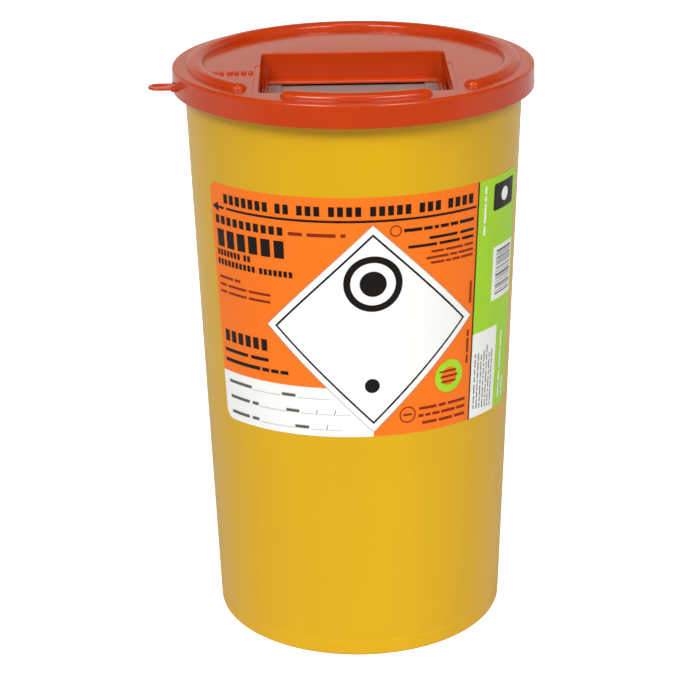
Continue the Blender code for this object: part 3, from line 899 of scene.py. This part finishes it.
def black_print():
    """The orange side's black print: the border, the fill line and its arrow, blocks and bars."""
    ink = [bar(BORDER_X - 0.35, BORDER_X + 0.4, LABEL_LOW, LABEL_HIGH)]
    ink += [bar(-47.9 * MM_PER_DEG, 44.0 * MM_PER_DEG, 227.55, 228.6)]
    arrow_tip, arrow_back, arrow_end = (degrees * MM_PER_DEG for degrees in (-55.8, -52.5, -49.4))
    ink += [[(arrow_tip, 227.9), (arrow_back, 225.6), (arrow_back, 230.2)],
            bar(arrow_back, arrow_end, 227.35, 228.5)]
    ink += blocks(-49.5, 42.8, 230.5, 235.1, (7, 2, 3, 4, 5, 3, 4))
    ink += blocks(-55.0, -23.9, 219.9, 223.9, (10,))
    ink += blocks(-54.8, -23.5, 208.7, 217.2, (6,), gap=0.3)
    ink += blocks(-54.9, -37.8, 204.3, 207.2, (7, 2))
    ink += blocks(-55.2, -21.3, 199.6, 202.5, (10, 7))
    ink += blocks(-54.6, -32.4, 161.2, 167.0, (6,))
    ink += words(-54.8, -32.8, 155.5, 157.7, (8, 5))
    ink += words(-54.8, -25.0, 150.3, 152.6, (12, 2, 2, 2), 0.6)
    ink += words(16.0, 43.0, 221.6, 223.6, (4, 2, 1, 2, 2, 4), 0.5)
    ink += words(25.0, 43.2, 216.8, 218.5, (9, 5))
    ink += words(17.5, 43.2, 213.5, 215.2, (10, 8, 5))
    return ink


def emblem():
    """The diamond's frame line, with a ring round a disc above and a small disc below."""
    ink = diamond_frame(DIAMOND_HALF - 4.4, DIAMOND_HALF - 5.7)
    ink += ring(DIAMOND_X, EMBLEM_Z, 13.6, 10.4)
    ink += disc(DIAMOND_X, EMBLEM_Z, 6.2)
    ink += disc(DIAMOND_X - 0.6, 146.6, 3.6)
    return ink


def brown_print():
    """The orange side's small print, and its two ring signs."""
    ink = words(-22.4, -3.2, 220.3, 222.4, (3, 6, 1))
    ink += words(-54.6, -43.4, 192.6, 194.2, (8, 3))
    ink += words(-54.6, -30.4, 188.9, 190.4, (3, 8, 8))
    ink += words(-54.6, -30.6, 185.4, 186.9, (3, 8, 8))
    ink += words(25.8, 43.2, 210.1, 211.5, (6, 9, 5))
    ink += words(24.0, 43.2, 207.2, 208.6, (12, 4, 9))
    ink += words(25.8, 43.2, 204.6, 206.0, (8, 3, 5, 8))
    ink += upright_words(43.1, 1.2, 181.0, 192.0, (9,))
    ink += upright_words(42.7, 1.2, 150.6, 167.6, (4, 7, 3))
    ink += ring(13.2 * MM_PER_DEG, 222.8, 2.7, 2.2, 32)
    ink += ring(SIGN_X, SIGN_Z, 4.2, 3.6, 40)
    ink += [bar(SIGN_X - 2.2, SIGN_X + 2.2, SIGN_Z - 0.5, SIGN_Z + 0.5)]
    ink += words(22.6, 42.6, 131.6, 133.4, (7, 3, 8))
    ink += words(22.4, 42.6, 127.9, 129.7, (2, 2, 3, 6, 4), 0.8)
    ink += words(24.0, 42.6, 124.0, 125.8, (6, 6, 5))
    return ink


def mark_print():
    """Three short bars inside the green ring."""
    ink = words(30.4, 37.6, 148.6, 149.8, (6,))
    ink += words(31.0, 38.4, 145.9, 147.1, (6,))
    ink += words(31.4, 37.6, 143.2, 144.4, (6,))
    return ink


def pale_print():
    """The green side's white print: a disc on the dark block, and three upright lines."""
    ink = disc((DARK_LEFT_X + DARK_RIGHT_X) / 2, 229.2, 3.4, 40)
    ink += upright_words(48.9, 1.3, 212.5, 236.2, (4, 8, 2, 3))
    ink += upright_words(64.9, 1.5, 124.5, 159.4, (7, 5, 9, 8))
    ink += upright_words(68.3, 1.5, 124.5, 134.2, (2, 6))
    return ink


def barcode(draw):
    """Random bars, stacked up the upper panel."""
    ink = []
    z = 180.0
    while z < 201.2:
        thick = draw.choice((0.35, 0.35, 0.7, 1.05))
        ink.append(bar(57.6 * MM_PER_DEG, 69.8 * MM_PER_DEG, z, z + thick))
        z += thick + draw.choice((0.35, 0.5, 0.8, 1.1))
    return ink


def panel_notes(draw):
    """Seven upright lines of random words on the lower panel."""
    ink = []
    for column in range(7):
        lengths = [draw.randint(2, 8) for _ in range(7)]
        high = draw.uniform(150.0, 160.0)
        ink += upright_words(47.4 + 1.75 * column, 0.7, 125.0 - 0.3 * column, high, lengths)
    return ink


def form_caption(left_deg, right_deg, line, lengths):
    """The printed words at the start of something to fill in."""
    return words(left_deg, right_deg, line, line + 2.0, lengths)


def form_date(line, starts_deg, stop_deg):
    """Short dotted stretches, with a slash before each one but the first."""
    ink = []
    for start in starts_deg:
        ink += dots(start, min(start + 4.6, stop_deg), line - 0.1)
    foot, head = line - 0.4, line + 2.5
    for start in starts_deg[1:]:
        lean = start * MM_PER_DEG - 1.6
        ink.append([(lean, foot), (lean + 0.35, foot), (lean + 1.15, head), (lean + 0.8, head)])
    return ink


def form_print():
    """The form's captions and dotted lines."""
    top, middle, low = FORM_LINES
    ink = form_caption(-53.6, -41.5, top, (8,)) + dots(-41.0, -28.5, top - 0.1)
    ink += form_caption(-28.0, -22.6, top, (4,)) + dots(-21.8, -9.2, top - 0.1)
    ink += form_caption(-53.4, -38.6, middle, (7, 2)) + dots(-38.0, -27.0, middle - 0.1)
    ink += form_caption(-26.5, -21.4, middle, (4,)) + form_date(middle, (-20.6, -14.0, -7.4), -1.6)
    ink += form_caption(-53.2, -38.8, low, (6, 2)) + dots(-38.2, -23.8, low - 0.1)
    ink += form_caption(-23.2, -17.9, low, (4,)) + form_date(low, (-17.0, -10.4), -1.2)
    return ink


def make_label():
    """The sheet, then its coloured areas and plain stand-ins for its print, layer on layer."""
    orange = printed_film("label_orange", srgb(255, 122, 28))
    green = printed_film("label_green", srgb(170, 223, 45))
    white = printed_film("label_white", srgb(250, 250, 250), variation=0.015)
    black = printed_film("label_black", srgb(22, 17, 15), roughness=0.42)
    brown = printed_film("label_brown", srgb(140, 42, 12))
    grey = printed_film("label_grey", srgb(150, 150, 150))
    grey_ink = printed_film("label_grey_ink", srgb(98, 96, 96))

    whole = sheet_columns(LABEL_LEFT_X, LABEL_RIGHT_X, LABEL_LOW, LABEL_HIGH, LABEL_CORNER)
    sheet = laid_film("label_sheet", whole, SHEET_LIFT, SHEET_T, orange)
    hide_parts("label")
    draw = random.Random(5)
    prints = [
        ("label_green_side", green_side(), 0, green),
        ("label_form", form_area(), 0, white),
        ("label_diamond", [diamond(DIAMOND_HALF)], 1, white),
        ("label_panels", white_panels(), 1, white),
        ("label_print", black_print(), 2, black),
        ("label_diamond_edge", diamond_frame(DIAMOND_HALF, DIAMOND_HALF - 0.4), 2, grey),
        ("label_emblem", emblem(), 2, black),
        ("label_small_print", brown_print(), 2, brown),
        ("label_green_mark", ring(MARK_X, MARK_Z, 8.2, 4.6), 2, green),
        ("label_mark_print", mark_print(), 3, brown),
        ("label_block", sheet_columns(DARK_LEFT_X, DARK_RIGHT_X, 222.6, 235.7, 1.4), 1, black),
        ("label_pale_print", pale_print(), 2, white),
        ("label_fine_print", barcode(draw) + panel_notes(draw) + form_print(), 2, grey_ink),
    ]
    for name, polygons, layer, film in prints:
        laid_film(name, polygons, SHEET_LIFT + SHEET_T + INK_T * layer, INK_T, film)


# ---- stage ------------------------------------------------------------------------------
ROOM = 0.07                             # radiance of the studio's walls and ceiling
BACKDROP = 0.54                         # what the lit backdrop adds, low behind the object
FRONT_FILL = 0.31                       # what the wide front light adds, low at the front
STUDIO_TINT = (1.0, 0.98, 0.86, 1.0)
KEY_LEFT, KEY_LEFT_FROM = 1.77, (-0.40, -0.65, 0.68)
KEY_RIGHT, KEY_RIGHT_FROM = 1.36, (0.40, -0.65, 0.68)
KEY_ANGLE = 24                          # degrees across, for soft shadows
OVERHEAD, OVERHEAD_FROM = 0.32, (0.0, -0.05, 1.0)
OVERHEAD_ANGLE = 20
REFLECTION_DARK_Y, REFLECTION_FADE_Y = -0.75, -0.45  # between these, the floor as glossy rays see it turns dark: a painted dark reflection
FLOOR_WHITE = 0.9                       # lifts the floor to clean white where it is seen
CAMERA_TARGET = Vector((0, 0, 0.13562))
CAMERA_DISTANCE = 1.03238
CAMERA_PITCH = math.radians(21.0795)
CAMERA_ROLL = math.radians(-0.7376)
CAMERA_LENS = 104.94
CAMERA_SHIFT = (-0.00983, -0.00158)
CAMERA_TURN = math.radians(-1.0)        # the camera stands this far round from the front


def make_camera():
    forward = Vector((0, math.cos(CAMERA_PITCH), -math.sin(CAMERA_PITCH)))
    side = Vector((1, 0, 0))
    up = side.cross(forward)
    rolled_side = side * math.cos(CAMERA_ROLL) + up * math.sin(CAMERA_ROLL)
    rolled_up = up * math.cos(CAMERA_ROLL) - side * math.sin(CAMERA_ROLL)
    data = bpy.data.cameras.new("camera")
    data.lens = CAMERA_LENS
    data.shift_x, data.shift_y = CAMERA_SHIFT
    camera = bpy.data.objects.new("camera", data)
    bpy.context.scene.collection.objects.link(camera)
    axes = Matrix((rolled_side, rolled_up, -forward)).transposed().to_4x4()
    place = Matrix.Translation(CAMERA_TARGET - forward * CAMERA_DISTANCE)
    camera.matrix_world = Matrix.Rotation(CAMERA_TURN, 4, "Z") @ place @ axes
    bpy.context.scene.camera = camera


def soft_sun(name, towards, strength, angle):
    """A far soft light: towards points from the object to the light."""
    data = bpy.data.lights.new(name, "SUN")
    data.energy = strength
    data.angle = math.radians(angle)
    light = bpy.data.objects.new(name, data)
    bpy.context.scene.collection.objects.link(light)
    light.rotation_euler = Vector(towards).to_track_quat("Z", "Y").to_euler()


def make_world():
    """Studio walls: an even room, a lit backdrop low behind, and a wide light low in front."""
    world = bpy.data.worlds.new("studio")
    world.use_nodes = True
    nodes = Nodes(world.node_tree)
    towards = nodes.split(nodes.add("ShaderNodeTexCoord").outputs["Generated"])

    def ramp(axis, low, high, out_low, out_high):
        return nodes.remap(towards[axis], low, high, out_low, out_high, "SMOOTHSTEP")

    behind = nodes.math("MULTIPLY", ramp("Y", 0.2, 0.6, 0.0, BACKDROP), ramp("Z", 0.32, 0.55, 1.0, 0.0))
    before = nodes.math("MULTIPLY", ramp("Y", -0.5, 0.1, FRONT_FILL, 0.0),
                        ramp("Z", 0.35, 0.65, 1.0, 0.0))
    total = nodes.math("ADD", nodes.math("ADD", behind, before), ROOM)
    background = world.node_tree.nodes["Background"]
    nodes.feed(background.inputs["Strength"], total)
    nodes.feed(background.inputs["Color"], STUDIO_TINT)
    bpy.context.scene.world = world


def floor_paper():
    """Pale paper that glossy rays see dark far in front of the object: a painted dark reflection.

    Its glow shows only where the floor is seen directly, so it lights nothing.
    """
    paper = Surface("floor_paper")
    ray = paper.add("ShaderNodeLightPath").outputs
    far = paper.remap(paper.split(paper.coords)["Y"], REFLECTION_DARK_Y, REFLECTION_FADE_Y, 1.0, 0.0)
    # painted dark reflection: far in front, the floor shows dark to glossy rays only, not to the camera
    painted_dark_reflection = paper.math("MULTIPLY", far, ray["Is Glossy Ray"])
    tint = paper.mix(paper.noise(3.0, 2.0), shade(WHITE, 0.78), shade(WHITE, 0.82))
    paper.set("Base Color", paper.mix(painted_dark_reflection, tint, shade(WHITE, 0.12)))
    paper.set("Roughness", 0.9)
    paper.set("Specular IOR Level", 0.1)
    paper.set("Emission Color", WHITE)
    paper.set("Emission Strength", paper.remap(ray["Is Camera Ray"], 0.0, 1.0, 0.0, FLOOR_WHITE))
    return paper.material


def make_stage():
    make_world()
    edit = bmesh.new()
    half = 6.0
    edit.faces.new([edit.verts.new(point) for point in
                    ((-half, -half, 0), (half, -half, 0), (half, half, 0), (-half, half, 0))])
    floor = new_object("floor", edit)
    floor.data.materials.append(floor_paper())
    soft_sun("key_left", KEY_LEFT_FROM, KEY_LEFT, KEY_ANGLE)
    soft_sun("key_right", KEY_RIGHT_FROM, KEY_RIGHT, KEY_ANGLE)
    soft_sun("overhead_light", OVERHEAD_FROM, OVERHEAD, OVERHEAD_ANGLE)


make_camera()
make_tub(moulded_plastic("tub_yellow", srgb(221, 173, 2), 0.30, 0.34, (18, 18, 5)))
make_lid(moulded_plastic("lid_orange", srgb(197, 60, 8), 0.16, 0.42, (20, 20, 20)))
make_door(moulded_plastic("door_grey", srgb(156, 142, 137), 0.36, 0.4, (25, 25, 25)))
make_label()
make_stage()
bpy.context.scene.view_settings.view_transform = "Standard"
